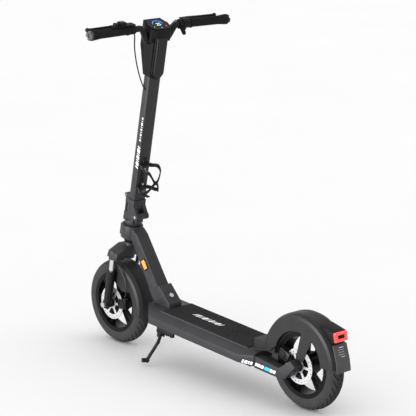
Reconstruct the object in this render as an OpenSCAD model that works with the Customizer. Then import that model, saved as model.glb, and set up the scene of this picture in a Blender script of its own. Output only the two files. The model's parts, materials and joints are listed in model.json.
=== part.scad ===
// Folding electric kick scooter with pneumatic tyres, a sprung fork, a folding
// stem with a latch, brake levers, a thumb throttle and a side stand.
// +X is the direction of travel, +Y the rider's left and +Z up; millimetres.

/* [Wheels] */
// Outside diameter of both tyres
tyre_d = 305; // [290:1:320]
// Width of both tyres
tyre_w = 58; // [52:1:60]
// Distance between the axles
wheelbase = 956; // [900:1:1040]
// Brake disc diameter
rotor_d = 120; // [110:1:130]
// Double spokes in each wheel
spokes = 5; // [4:1:6]

/* [Deck] */
// Width across the deck's side rails
deck_w = 200; // [180:1:220]
// Nose-up tilt of the deck in degrees
deck_tilt = 3.5; // [2:0.1:4]
// Width of the flat top that the mat covers
deck_top_w = 140; // [120:1:150]

/* [Steering and stem] */
// Backward lean of the steering axis in degrees
rake = 11.1; // [9:0.1:13]
// Height of the stem from the fold collar to the handlebar
stem_len = 588; // [540:1:640]
// Width of the stem from side to side
stem_w = 50; // [44:1:56]
// Distance between the outer ends of the grips
bar_w = 620; // [560:1:680]
// Diameter of the handlebar tube
bar_d = 22; // [20:0.5:24]

/* [Fits] */
// Radial clearance of parts that turn in each other
run = 0.06; // [0.03:0.01:0.1]
// Radial clearance of parts that are fixed in each other
fix = 0.12; // [0.08:0.01:0.3]
// Gap between neighbouring covers
gap = 0.5; // [0.3:0.1:1]

/* [Part] */
// Node to show, or all of them

/* [Hidden] */
$fn = 48;

tyre_r = tyre_d / 2;
rotor_r = rotor_d / 2;
rim_r = tyre_r - 43;
axle_r = 6;
hub_half = 41.2;
rotor_y = 37.5;
rotor_t = 2.2;
leg_y = 60;
leg_r = 15.5;
stanchion_r = 10;
fork_offset = 14.3;
travel = 14;
axle_s = -fork_offset * tan(rake);

// Levels along the steering axis, from the height of the wheel's axle.
crown_s = tyre_r + 27.5;
head_s0 = crown_s + 78;
head_s1 = head_s0 + 48;
base_top = head_s1 + 47.5;
pin_s = base_top - 3;
pin_t = -38;
collar_s0 = base_top + 0.8;
collar_s1 = collar_s0 + 52;
bar_s = collar_s1 + stem_len;
bar_t = -5;
head_low = bar_s - 127;
steerer_r = 15;
cup_r = 25;

// The deck's section heights, from the axle height at the rear wheel.
deck_bottom = -43;
deck_side_top = -16;
deck_top = 3;
deck_rear = 165;
deck_front = wheelbase - 211;
fender_c = [4, 12];
fender_r = tyre_r + 9.5;
// The tail lamp moves out with the tyre.
tail_step = 0.7 * (tyre_r - 152.5);
tail_x = -164.4 - tail_step;
mid_x = (wheelbase + tyre_r + tail_x) / 2;

steer_x = wheelbase - fork_offset / cos(rake);
bar_r = bar_d / 2;
sweep = 2.4;
sweep_r = 200;
bend_r = 22;
bend = 60;
bend_len = 31.4;
rise = 2 * bend_r * (1 - cos(bend)) + bend_len * sin(bend);
bend_run = 2 * bend_r * sin(bend) + bend_len * cos(bend);
bar_mid = 25;
lap = 0.2;
outer_t = bar_t - sweep_r * (1 - cos(sweep)) - bend_run * sin(sweep);
outer_y = bar_mid + sweep_r * sin(sweep) + bend_run * cos(sweep);
bar_end_y = bar_w / 2 - 8;
perch_y = outer_y + 25;

// A point given in the steering frame or the deck frame, as [x, z].
function sw(t, s) = [steer_x + t * cos(rake) - s * sin(rake),
                     tyre_r + t * sin(rake) + s * cos(rake)];
function dw(u, w) = [u * cos(deck_tilt) - w * sin(deck_tilt),
                     tyre_r + u * sin(deck_tilt) + w * cos(deck_tilt)];
function mix(a, b, f) = a + (b - a) * f;

// Frames: on the ground below the rear axle, at the rear axle, along the deck,
// at the front axle and along the steering axis.
module ground() translate([-mid_x, 0, 0]) children();
module at_rear() ground() translate([0, 0, tyre_r]) children();
module at_deck() at_rear() rotate([0, -deck_tilt, 0]) children();
module at_front() ground() translate([wheelbase, 0, tyre_r]) children();
module at_steer() ground() translate([steer_x, 0, tyre_r]) rotate([0, -rake, 0]) children();
module at_pair() for (m = [0, 1]) mirror([0, m, 0]) children();

// A side outline in x and z, thickened in y from y0 to y1.
module slab(y0, y1, pts) translate([0, y1, 0]) rotate([90, 0, 0])
  linear_extrude(height = y1 - y0) polygon(pts);
module rod_y(r, y0, y1) translate([0, y0, 0]) rotate([-90, 0, 0]) cylinder(r = r, h = y1 - y0);
module box(x, y, z) translate([x[0], y[0], z[0]])
  cube([x[1] - x[0], y[1] - y[0], z[1] - z[0]]);
// A round bar between two points, with a ball at the far one.
module bar(a, b, r) {
  d = b - a;
  translate(a) rotate([0, acos(d[2] / norm(d)), atan2(d[1], d[0])]) cylinder(r = r, h = norm(d));
}

// A cable through points, rounded by a spline and swept as an eight-sided tube.
function spline(p, i, f) =
  let (a = p[max(i - 1, 0)], b = p[i], c = p[i + 1], d = p[min(i + 2, len(p) - 1)])
  0.5 * (2 * b + (c - a) * f + (2 * a - 5 * b + 4 * c - d) * f * f
    + (3 * b - a - 3 * c + d) * f * f * f);
function route(p, n) = [for (i = [0 : len(p) - 2], k = [0 : n - 1]) spline(p, i, k / n), p[len(p) - 1]];
function unit(v) = v / norm(v);
function ring_at(c, dir, side, r, k) = let (u = unit(cross(side, dir)), v = unit(cross(dir, u)))
  [for (j = [0 : k - 1]) c + r * (cos(360 * j / k) * u + sin(360 * j / k) * v)];
module cable(p, r, n, side = [0, 1, 0], k = 8) {
  q = route(p, n);
  m = len(q);
  rings = [for (i = [0 : m - 1])
    each ring_at(q[i], q[min(i + 1, m - 1)] - q[max(i - 1, 0)], side, r, k)];
  walls = [for (i = [0 : m - 2], j = [0 : k - 1])
    [i * k + j, i * k + (j + 1) % k, (i + 1) * k + (j + 1) % k, (i + 1) * k + j]];
  polyhedron(rings, concat([[for (j = [k - 1 : -1 : 0]) j]],
    walls, [[for (j = [0 : k - 1]) (m - 1) * k + j]]));
}

// ---- Wheels ----

module tyre() rotate([90, 0, 0]) rotate_extrude($fn = 96) difference() {
  union() {
    translate([tyre_r - tyre_w / 2, 0]) circle(r = tyre_w / 2);
    translate([rim_r - 6, -21.5]) square([22, 43]);
  }
  translate([rim_r - 10, 21.8]) square([13, 20]);
  translate([rim_r - 10, -41.8]) square([13, 20]);
  translate([0, -50]) square([rim_r - 6.1, 100]);
  translate([tyre_r - tyre_w / 2, 0]) circle(r = tyre_w / 2 - 7);
  translate([rim_r - 7, -14.5]) square([20, 29]);
}

module rim() {
  rotate([90, 0, 0]) rotate_extrude($fn = 96) {
    translate([rim_r - 14, -26]) square([7.6, 52]);
    for (y = [-26, 22.1]) translate([rim_r - 14, y]) square([16, 3.9]);
  }
  for (i = [0 : spokes - 1], k = [-1, 1])
    rotate([0, -i * 360 / spokes - 14, 0]) rotate([0, -k * 9, 0])
      box([37.5, rim_r - 12], [-7, 7], [-4.5 - k * 2, 4.5 - k * 2]);
  rotate([90, 0, 0]) difference() {
    translate([0, 0, -15]) cylinder(r = 42, h = 30);
    translate([0, 0, -16]) cylinder(r = 36.2, h = 32);
  }
}

module hub(r) difference() {
  union() {
    rod_y(r, -34, 34);
    rod_y(24, -36, rotor_y - 0.2);
    rod_y(14, -hub_half, hub_half);
    for (y = [-30 : 6 : 30]) if (abs(y) > 17) rod_y(r + 8, y - 1.2, y + 1.2);
  }
  rod_y(axle_r + run, -50, 50);
}

module rotor() difference() {
  union() {
    difference() {
      rod_y(rotor_r, rotor_y, rotor_y + rotor_t);
      rod_y(rotor_r - 17, 0, 60);
    }
    rod_y(21, rotor_y, rotor_y + rotor_t);
    for (i = [0 : 5]) rotate([0, i * 60, 0])
      box([18, rotor_r - 14], [rotor_y, rotor_y + rotor_t], [-4.5, 4.5]);
  }
  rod_y(14 + fix, 0, 60);
  for (i = [0 : 23]) rotate([0, i * 15, 0]) translate([rotor_r - 9 + 3 * (i % 2), 0, 0]) rod_y(2.2, 0, 60);
}

module front_tyre() color([0.08, 0.08, 0.09]) at_front() tyre();
module front_rim() color([0.12, 0.12, 0.13]) at_front() rim();
module front_hub() color([0.1, 0.1, 0.1]) at_front() hub(28);
module front_rotor() color([0.75, 0.75, 0.77]) at_front() rotor();
module rear_tyre() color([0.08, 0.08, 0.09]) at_rear() tyre();
module rear_rim() color([0.12, 0.12, 0.13]) at_rear() rim();
module rear_hub() color([0.1, 0.1, 0.1]) at_rear() hub(28);
module rear_rotor() color([0.75, 0.75, 0.77]) at_rear() rotor();

// ---- Deck ----

module deck_plan() translate([0, 0, -80]) linear_extrude(height = 160)
  polygon([[deck_rear, -84], [deck_rear + 60, -deck_w / 2], [deck_front - 64, -deck_w / 2],
    [deck_front, -45], [deck_front, 45], [deck_front - 64, deck_w / 2],
    [deck_rear + 60, deck_w / 2], [deck_rear, 84]]);
module deck_run(u0, u1, pts) translate([u0, 0, 0]) rotate([90, 0, 90])
  linear_extrude(height = u1 - u0) polygon(pts);

module deck_shell() color([0.2, 0.2, 0.21]) at_deck() difference() {
  h = deck_w / 2;
  t = deck_top_w / 2;
  intersection() {
    deck_run(deck_rear, deck_front, [[-h, deck_bottom], [-h, deck_side_top], [-t, deck_top],
      [t, deck_top], [h, deck_side_top], [h, deck_bottom]]);
    deck_plan();
  }
  deck_run(deck_rear + 30, deck_front - 80, [[8 - h, deck_bottom - 1], [8 - h, deck_side_top - 3],
    [4 - t, deck_top - 5], [t - 4, deck_top - 5], [h - 8, deck_side_top - 3], [h - 8, deck_bottom - 1]]);
  // Socket of the charging point in the right rail.
  translate([deck_front - 190, 0, -29.5]) rod_y(9 + fix, -h - 1, -h + 12);
}

module deck_pan() color([0.1, 0.1, 0.1]) at_deck() difference() {
  h = deck_w / 2 - 12;
  union() {
    box([deck_rear + 10, deck_front - 70], [-h, h], [deck_bottom - 3.2, deck_bottom - 0.2]);
    deck_run(deck_rear + 40, deck_front - 90, [[-74, deck_bottom - 3], [-66, deck_bottom - 9],
      [66, deck_bottom - 9], [74, deck_bottom - 3]]);
  }
  box([deck_rear + 44, deck_front - 94], [-64, 64], [deck_bottom - 7, deck_bottom]);
}

module deck_mat() color([0.13, 0.13, 0.13]) at_deck() {
  t = deck_top_w / 2 - 1;
  difference() {
    box([deck_rear + 48, deck_front - 98], [-t, t], [deck_top, deck_top + 4]);
    for (i = [0 : 5]) translate([deck_rear + 90 + i * 14, 0, deck_top + 2.6])
      for (k = [-1, 1]) rotate([0, 0, k * 30]) box([-2, 2], [k > 0 ? 0 : -38, k > 0 ? 38 : 0], [0, 2]);
  }
}

module battery() color([0.2, 0.35, 0.5]) at_deck()
  box([deck_rear + 90, deck_front - 130], [-62, 62], [deck_bottom - 5, deck_top - 9]);

// ---- Neck and head tube ----

neck_half = 25;
neck_foot_f = deck_front - 8;
neck_foot_r = deck_front - 70;
neck_a = dw(neck_foot_f, deck_top);
neck_b = sw(-34, head_s0 + 1);
neck_c = dw(neck_foot_r, deck_top);
neck_d = sw(-58, head_s1 - 18);
neck_e = sw(-34, head_s1 - 4);
neck_dir = unit(neck_d - neck_c);
neck_angle = atan2(neck_dir[1], neck_dir[0]);
neck_mid = mix(mix(neck_a, neck_c, 0.5), mix(neck_b, neck_d, 0.5), 0.6);

module neck() color([0.22, 0.22, 0.23]) difference() {
  union() {
    ground() slab(-neck_half, neck_half,
      [neck_a, neck_b, sw(0, head_s0), sw(0, head_s1 - 2), neck_e, neck_d, neck_c]);
    at_steer() translate([0, 0, head_s0]) cylinder(r = 38, h = head_s1 - head_s0);
    at_steer() box([0, 34], [-26, 26], [head_s0 + 3, head_s1 - 3]);
  }
  at_steer() translate([0, 0, head_s0 - 1]) cylinder(r = cup_r + fix, h = head_s1 - head_s0 + 2);
  ground() translate([neck_mid[0], 0, neck_mid[1]]) rotate([0, -neck_angle, 0])
    at_pair() box([-20, 20], [neck_half - 2, neck_half + 5], [-12, 12]);
}

base_top_f = mix(neck_c, neck_d, 0.29);
neck_out = [-neck_dir[1], neck_dir[0]];
base_foot = dw(neck_foot_r - 20, deck_top + 16);
base_head = base_top_f + 10 * neck_out + [-3, -1];
base_face = base_head - base_foot;
// The cover wraps the foot of the neck: a wedge behind it and a cheek on either side.
module neck_base() color([0.2, 0.2, 0.21]) ground() {
  slab(-neck_half - 3, neck_half + 3, [base_top_f + 0.3 * neck_out, base_head, base_foot,
    dw(neck_foot_r - 22, deck_top), neck_c + [-0.4, 0]]);
  at_pair() slab(neck_half + 0.3, neck_half + 2.8, [dw(neck_foot_f - 2, deck_top + 0.3),
    mix(neck_a, neck_b, 0.24), base_top_f + 4 * neck_out - 3 * neck_dir, dw(neck_foot_r - 8, deck_top + 0.3)]);
}

module base_screw() ground() translate([mix(base_foot, base_head, 0.4)[0], 0, mix(base_foot, base_head, 0.4)[1]])
  rotate([0, -atan2(base_face[1], base_face[0]), 0]) children();

module frame_screws() color([0.7, 0.7, 0.72]) base_screw() translate([0, 0, 0.6]) difference() {
  cylinder(r = 8, h = 3);
  translate([0, 0, 1.4]) cylinder(r = 3.4, h = 3, $fn = 6);
}

module reflector_at() ground() translate([neck_mid[0], 0, neck_mid[1]]) rotate([0, -neck_angle, 0])
  at_pair() children();
module reflector_bezels() color([0.05, 0.05, 0.05]) reflector_at() difference() {
  box([-19.5, 19.5], [neck_half - 1.9, neck_half + 2.5], [-11.5, 11.5]);
  box([-16.5, 16.5], [neck_half - 0.5, neck_half + 4], [-8.5, 8.5]);
}
module reflectors() color([0.95, 0.45, 0.05]) reflector_at()
  box([-16.3, 16.3], [neck_half - 0.4, neck_half + 3.5], [-8.3, 8.3]);

module headset() color([0.08, 0.08, 0.08]) at_steer() for (up = [0, 1])
  translate([0, 0, up ? head_s1 : head_s0]) mirror([0, 0, 1 - up]) difference() {
    union() {
      translate([0, 0, -14]) cylinder(r = cup_r, h = 14);
      cylinder(r = up ? 31 : 27, h = 5);
      translate([0, 0, 5]) cylinder(r1 = up ? 31 : 27, r2 = 22, h = up ? 0.3 : 14);
    }
    translate([0, 0, -15]) cylinder(r = steerer_r + run, h = 40);
  }

// ---- Rear end ----

arm_y0 = 46;
arm_y1 = 80;
module rear_arms() color([0.2, 0.2, 0.21]) at_deck() at_pair() difference() {
  union() {
    slab(arm_y0, arm_y1, [[deck_rear - 0.2, -48], [deck_rear - 0.2, -8], [52, -14], [4, 25],
      [-20, 10], [22, -42], [62, -48]]);
    rod_y(15, arm_y0, arm_y0 + 16);
  }
  rod_y(axle_r + fix, 0, arm_y0 + 16);
}
module rear_axle() color([0.6, 0.6, 0.62]) at_rear() rod_y(axle_r, -arm_y0 - 15.5, arm_y0 + 15.5);

module arc_shell(r_out, r_side, r_in, half, a0, a1, wall = 3) rotate([90, 0, 0]) rotate([0, 0, a0])
  rotate_extrude(angle = a1 - a0, $fn = 96) polygon([
    [r_in, half - wall], [r_in, half], [r_side, half], [r_side + 9, half - 4], [r_out - 1, half - 16],
    [r_out, half - 24], [r_out, 24 - half], [r_out - 1, 16 - half], [r_side + 9, 4 - half],
    [r_side, -half], [r_in, -half], [r_in, wall - half], [r_side - 1, wall - half],
    [r_side + 7, 7 - half], [r_out - 4, 18 - half], [r_out - wall, 25 - half],
    [r_out - wall, half - 25], [r_out - 4, half - 18], [r_side + 7, half - 7],
    [r_side - 1, half - wall]]);

module rear_fender() color([0.13, 0.13, 0.14]) difference() {
  union() {
    at_rear() translate([fender_c[0], 0, fender_c[1]])
      arc_shell(fender_r, fender_r - 16, max(fender_r - 57, rotor_r + 36), 44.5, 2, 176);
    at_rear() at_pair() slab(41.5, 44.5, [[14, 14], [-16, 18], [-64, tyre_r - 48.5], [-14, tyre_r - 30.5]]);
    at_rear() at_pair() rod_y(17, 41.5, 44.5);
    at_deck() difference() {
      box([fender_r - 6, deck_rear + 44], [-42, 42], [deck_top + 0.2, 36]);
      box([0, deck_rear + 41], [-39, 39], [-10, 33]);
    }
  }
  at_rear() rod_y(axle_r + fix + 0.2, -60, 60);
}

module on_tail() at_rear() translate([-tail_step, 0, tail_step]) children();
module tail_housing() color([0.1, 0.1, 0.11]) difference() {
  on_tail() {
    slab(-29, 29, [[-80, fender_r - 6], [-139, 143], [-144, 111], [-126, 100]]);
    slab(-14, 14, [[-139, 132], [-148, 131], [-149.5, 122], [-142, 122]]);
  }
  at_rear() translate([fender_c[0], 0, fender_c[1]]) rod_y(fender_r + 0.3, -50, 50);
}
module tail_lens() color([0.9, 0.08, 0.06]) on_tail() difference() {
  slab(-28, 28, [[-139.4, 142], [-147, 141], [-151.5, 112], [-144.2, 111.6]]);
  slab(-15, 15, [[-130, 133.3], [-160, 133.3], [-160, 120.7], [-130, 120.7]]);
}
module mud_plate() color([0.3, 0.3, 0.31]) on_tail()
  slab(-31, 31, [[-139, 100], [-142, 101], [-158, 50.6], [tail_x + tail_step, 12], [-161.2, 12.4], [-155, 50]]);

// A two-sided caliper around the disc, on the side the brake arm is.
module caliper(out) difference() {
  union() {
    box([rotor_r - 18, rotor_r + 26], [29.5, out], [-17, 17]);
    translate([rotor_r + 8, 0, 0]) rod_y(13, 30, out + 4);
  }
  rod_y(rotor_r + 2, rotor_y - 0.8, rotor_y + rotor_t + 0.8);
}
module rear_caliper() color([0.4, 0.4, 0.42]) at_rear() rotate([0, -25, 0]) caliper(53);

// ---- Side stand ----

kick_u = deck_front - 122;
kick_y = deck_w / 2 - 10;
kick_w = deck_bottom - 25.5;
module kick_bracket() color([0.1, 0.1, 0.1]) at_deck() {
  box([kick_u - 70, kick_u + 14], [deck_w / 2 - 11.2, kick_y + 8], [deck_bottom - 17, deck_bottom - 0.3]);
  box([kick_u - 14, kick_u + 14], [kick_y - 10.3, kick_y + 10.3], [deck_bottom - 17, deck_bottom - 12.3]);
  for (y = [kick_y - 10.3, kick_y + 6.3]) translate([kick_u, 0, 0])
    difference() {
      box([-9, 9], [y, y + 4], [kick_w - 9, deck_bottom - 16.5]);
      translate([0, 0, kick_w]) rod_y(5 - fix, y - 1, y + 5);
    }
  translate([kick_u, 0, kick_w]) rod_y(5, kick_y - 11.5, kick_y + 11.5);
  for (x = [-58, -34]) translate([kick_u + x, kick_y + 3, deck_bottom - 20]) cylinder(r = 4, h = 3.2);
}
leg_drop = tyre_r + (kick_w + kick_u * sin(deck_tilt)) - 17;
module kick_leg() color([0.12, 0.12, 0.12]) at_deck() translate([kick_u, kick_y, kick_w]) difference() {
  union() {
    rod_y(8, -6, 6);
    bar([0, 0, 0], [12, 0, -32], 5.9);
    translate([12, 0, -32]) sphere(r = 6.6);
    bar([12, 0, -32], [44, 22, -leg_drop], 6);
    translate([44, 22, -leg_drop]) sphere(r = 9.4);
    bar([44, 22, -leg_drop], [52, 38, -leg_drop + 1], 8);
  }
  rod_y(5 + run, -20, 20);
}

// ---- Charging point ----

module at_port() at_deck() translate([deck_front - 190, -deck_w / 2, -29.5]) children();
module charge_port() color([0.05, 0.05, 0.05]) at_port() difference() {
  rod_y(9, -1.5, 11);
  rod_y(5.5, -2, 8);
}
module charge_cap() color([0.06, 0.06, 0.06]) at_port() {
  rod_y(11, -4.2, -1.8);
  box([-4, 4], [-4.2, -1.8], [8, 14]);
  translate([-4, -3, 14]) rotate([0, 90, 0]) cylinder(r = 1.5, h = 8);
  rod_y(4.6, -1.9, 1);
}

// ---- Steering ----

module fork_crown() color([0.1, 0.1, 0.1]) at_steer() difference() {
  union() {
    translate([0, 0, head_s0 - 20]) cylinder(r = 21, h = 0.6);
    translate([0, 0, crown_s]) cylinder(r = 21, h = head_s0 - crown_s - 19.6);
    translate([0, 0, crown_s]) cylinder(r = steerer_r, h = base_top - crown_s - 12);
    rotate([90, 0, 90]) translate([0, 0, -20]) linear_extrude(height = 50)
      polygon([[-76, crown_s + 4], [-72, crown_s + 26], [-30, crown_s + 48], [30, crown_s + 48],
        [72, crown_s + 26], [76, crown_s + 4], [40, crown_s + 1], [30, crown_s + 12], [-30, crown_s + 12],
        [-40, crown_s + 1]]);
    at_pair() translate([fork_offset, leg_y, crown_s - 4]) cylinder(r = 16, h = 34);
  }
  at_pair() translate([fork_offset, leg_y, crown_s - 10]) cylinder(r = stanchion_r + fix, h = 34);
}
module stanchions() color([0.85, 0.85, 0.87]) at_steer() at_pair()
  translate([fork_offset, leg_y, 60]) cylinder(r = stanchion_r, h = crown_s + 23 - 60);

module fork_lowers() color([0.09, 0.09, 0.1]) at_steer() difference() {
  at_pair() {
    translate([fork_offset, leg_y, -8]) cylinder(r = leg_r, h = crown_s - 46);
    translate([fork_offset, leg_y, crown_s - 56]) cylinder(r = leg_r + 0.7, h = 4);
    translate([fork_offset, 0, axle_s]) rod_y(15, leg_y - 13, leg_y + 13);
    translate([fork_offset, leg_y, -20]) cylinder(r = 9, h = 20);
  }
  at_pair() translate([fork_offset, leg_y, 40]) cylinder(r = stanchion_r + run, h = 200);
  translate([fork_offset, 0, axle_s]) rod_y(axle_r + fix, -90, 90);
}
module front_axle() color([0.6, 0.6, 0.62]) at_front() {
  rod_y(axle_r, -76, 76);
  for (y = [-84, 76]) rod_y(10, y, y + 8);
}
module front_caliper() color([0.15, 0.15, 0.16]) at_front() rotate([0, -172, 0]) caliper(47);
module front_fender() color([0.12, 0.12, 0.13]) at_front() {
  arc_shell(tyre_r + 9.5, tyre_r - 8, tyre_r - 30, 43.5, 82, 190);
  at_pair() slab(41.1, 42.9, [[-8, tyre_r - 60], [-2, tyre_r - 14], [-56, tyre_r - 26],
    [-110, tyre_r - 92], [-60, tyre_r - 96]]);
}
module front_hose() color([0.03, 0.03, 0.03]) at_front()
  cable([[-50, 52, tyre_r + 3], [-66, 52, tyre_r - 12], [-92, 52, tyre_r - 50], [-96, 52, 60],
    [-84, 50, 38]], 2.4, 6, [0, 1, 0]);

// ---- Folding joint ----

module fold_base() color([0.14, 0.14, 0.15]) at_steer() difference() {
  union() {
    translate([0, 0, head_s1 + 5.8]) cylinder(r = 30, h = 16);
    box([-26, 27], [-24, 24], [head_s1 + 14, base_top]);
    box([-36, -20], [-14.5, 14.5], [head_s1 + 18, base_top - 3]);
    translate([pin_t, 0, pin_s]) rod_y(11.5, -14.5, 14.5);
  }
  translate([0, 0, head_s1]) cylinder(r = steerer_r + fix, h = base_top - head_s1 - 10);
  translate([pin_t, 0, pin_s]) rod_y(5 + fix, -40, 40);
}
module fold_pin() color([0.6, 0.6, 0.62]) at_steer() translate([pin_t, 0, pin_s]) rod_y(5, -29, 29);

module stem_section(grow = 0) {
  h = stem_w / 2 + grow;
  translate([-21 - grow, -h]) square([18 + grow, 2 * h]);
  difference() {
    translate([-3, 0]) circle(r = h);
    translate([-4 - h, -h - 1]) square([h, 2 * h + 2]);
  }
}
latch_at = [stem_w / 2 + 8, 0, collar_s1 + 4];
module fold_collar() color([0.14, 0.14, 0.15]) at_steer() difference() {
  union() {
    translate([0, 0, collar_s0]) linear_extrude(height = collar_s1 - collar_s0) stem_section(2.5);
    translate([latch_at[0], 0, latch_at[2]]) {
      rod_y(8, -18, -9.4);
      rod_y(8, 9.4, 18);
    }
    for (y = [[-18, -9.4], [9.4, 18]]) box([4, latch_at[0]], y, [collar_s1 - 22, collar_s1 + 11.9]);
    at_pair() translate([pin_t, 0, pin_s]) rod_y(12, 15, 27.5);
    at_pair() slab(15, 27.5, [[pin_t - 12, pin_s], [-22, collar_s0 + 34], [-16, collar_s0 + 20],
      [-16, collar_s0], [-27.2, collar_s0], [-27.2, pin_s - 4]]);
  }
  translate([latch_at[0], 0, latch_at[2]]) rod_y(3 + fix, -30, 30);
  at_pair() translate([pin_t, 0, pin_s]) rod_y(5 + run, 10, 40);
  translate([0, 0, collar_s1]) linear_extrude(height = 40) stem_section(0.3);
  translate([0, 0, collar_s0 + 6]) linear_extrude(height = 60) stem_section(-5);
}
module latch_pin() color([0.6, 0.6, 0.62]) at_steer() translate(latch_at) rod_y(3, -19, 19);
module latch_lever() color([0.05, 0.05, 0.05]) at_steer() translate(latch_at) difference() {
  union() {
    rod_y(8, -8.8, 8.8);
    slab(-8.8, 8.8, [[-4, 4], [7, 4], [9, -20], [8, -76], [14, -92], [9, -94], [1, -80], [-1, -60],
      [-2.5, -52], [-2.5, -10]]);
  }
  rod_y(3 + run, -20, 20);
}

// ---- Stem and head ----

module stem_tube() color([0.18, 0.18, 0.19]) at_steer() difference() {
  translate([0, 0, collar_s1 + 0.2]) linear_extrude(height = head_low - collar_s1 - 0.4) stem_section();
  translate([0, 0, collar_s1 - 1]) linear_extrude(height = head_low - collar_s1 + 4) {
    translate([-17.5, -stem_w / 2 + 3.5]) square([14.5, stem_w - 7]);
    difference() {
      translate([-3, 0]) circle(r = stem_w / 2 - 3.5);
      translate([-4 - stem_w, -stem_w]) square([stem_w, 2 * stem_w]);
    }
  }
}

// Rounded corners of the head at a level, grown forwards and sideways.
module head_ring(s, rear, front, half, r) translate([0, 0, s]) for (k = [-1, 1]) {
  translate([rear + r, k * (half - r), 0]) cylinder(r = r, h = 0.5, $fn = 32);
  translate([front - r - 6, k * (half - r - 6), 0]) cylinder(r = r + 6, h = 0.5, $fn = 32);
}
module stem_head() color([0.16, 0.16, 0.17]) at_steer() difference() {
  union() {
    hull() {
      head_ring(head_low, -21, 22, stem_w / 2, 4);
      head_ring(bar_s - 26, -27, 46, 33, 6);
    }
    hull() {
      head_ring(bar_s - 26, -27, 46, 33, 6);
      head_ring(bar_s + 15, -27, 46, 33, 6);
    }
  }
  translate([bar_t, 0, bar_s]) rod_y(bar_r + fix, -60, 60);
  box([-60, 60], [-60, 60], [bar_s, bar_s + 60]);
  box([39, 60], [-26, 26], [bar_s - 62, bar_s - 14]);
}
module headlight() color([0.9, 0.92, 0.95]) at_steer() difference() {
  box([39.3, 46], [-25, 25], [bar_s - 55, bar_s - 15]);
  translate([60, 0, bar_s - 35]) rotate([0, 12, 0]) box([-14.5, 20], [-60, 60], [-60, 60]);
}
module head_panel() color([0.2, 0.2, 0.21]) at_steer() intersection() {
  difference() {
    hull() {
      translate([-36, 0, head_low + 26]) rotate([0, 90, 0]) cylinder(r = 25, h = 26, $fn = 40);
      box([-38, -12], [-27, 27], [bar_s - 16, bar_s + 16]);
    }
    hull() {
      head_ring(head_low - 1, -21.5, 22, stem_w / 2 + 3, 4);
      head_ring(bar_s - 26, -27.5, 46, 36, 6);
    }
    box([-27.5, 60], [-60, 60], [bar_s - 27, bar_s + 60]);
  }
  box([-50, 50], [-50, 50], [head_low - 20, bar_s + 15.5]);
}

// ---- Handlebar ----

// A bend of the tube that starts at the origin along z and turns towards x.
module arc(r, turn, tube) translate([r, 0, 0]) mirror([1, 0, 0]) rotate([90, 0, 0])
  rotate_extrude(angle = turn, $fn = 96) translate([r, 0]) circle(r = tube, $fn = 32);
module after_arc(r, turn) translate([r - r * cos(turn), 0, r * sin(turn)]) rotate([0, turn, 0])
  children();
// A straight length of the tube that laps the bend on either side of it.
module straight(tube, from, to) translate([0, 0, from - lap])
  cylinder(r = tube, h = to - from + 2 * lap, $fn = 32);
// Half of the bar from its middle: swept back a little, then up and out.
module half_bar(tube) translate([bar_t, bar_mid, bar_s]) rotate(a = -120, v = [1, 1, 1]) {
  rotate([0, 0, -90]) arc(sweep_r, sweep, tube - lap / 2);
  rotate([0, 0, -90]) after_arc(sweep_r, sweep) rotate([0, 0, 90]) {
    straight(tube, 0, 0.4);
    arc(bend_r, bend, tube - lap / 2);
    after_arc(bend_r, bend) {
      straight(tube, 0, bend_len);
      translate([0, 0, bend_len]) rotate([0, 0, 180]) {
        arc(bend_r, bend, tube - lap / 2);
        after_arc(bend_r, bend) straight(tube, 0, (bar_end_y - outer_y) / cos(sweep));
      }
    }
  }
}
module handlebar() color([0.1, 0.1, 0.1]) at_steer() {
  translate([bar_t, 0, bar_s]) rotate([-90, 0, 0]) straight(bar_r, -bar_mid, bar_mid);
  at_pair() half_bar(bar_r);
}
// A frame on the outer part of the bar, y pointing outwards along the tube.
module on_bar(y) at_steer() translate([outer_t - (y - outer_y) * tan(sweep), y, bar_s + rise])
  rotate([0, 0, sweep]) children();
module on_bar_right(y) at_steer() mirror([0, 1, 0])
  translate([outer_t - (y - outer_y) * tan(sweep), y, bar_s + rise]) rotate([0, 0, sweep])
  children();

grip_y0 = perch_y + 25;
grip_len = bar_end_y - grip_y0 + 1;
module grip() difference() {
  union() {
    rod_y(15, 0, grip_len - 1);
    rod_y(17.5, 0, 6);
    translate([0, grip_len - 40, 0]) rotate([-90, 0, 0]) cylinder(r1 = 15, r2 = 18, h = 34);
    rod_y(18, grip_len - 8, grip_len - 1);
  }
  rod_y(bar_r + fix, -5, grip_len + 10);
}
module grips() color([0.07, 0.07, 0.07]) {
  on_bar(grip_y0) grip();
  on_bar_right(grip_y0) grip();
}
module bar_end() difference() {
  rod_y(16.5, grip_len - 0.3, grip_len + 6);
  for (i = [0 : 3]) rotate([0, i * 90 + 45, 0]) translate([17, 0, 0]) rod_y(5, grip_len + 2, grip_len + 8);
  rod_y(7, grip_len + 2.5, grip_len + 8);
}
module bar_ends() color([0.5, 0.5, 0.5]) {
  on_bar(grip_y0) bar_end();
  on_bar_right(grip_y0) bar_end();
}

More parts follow.
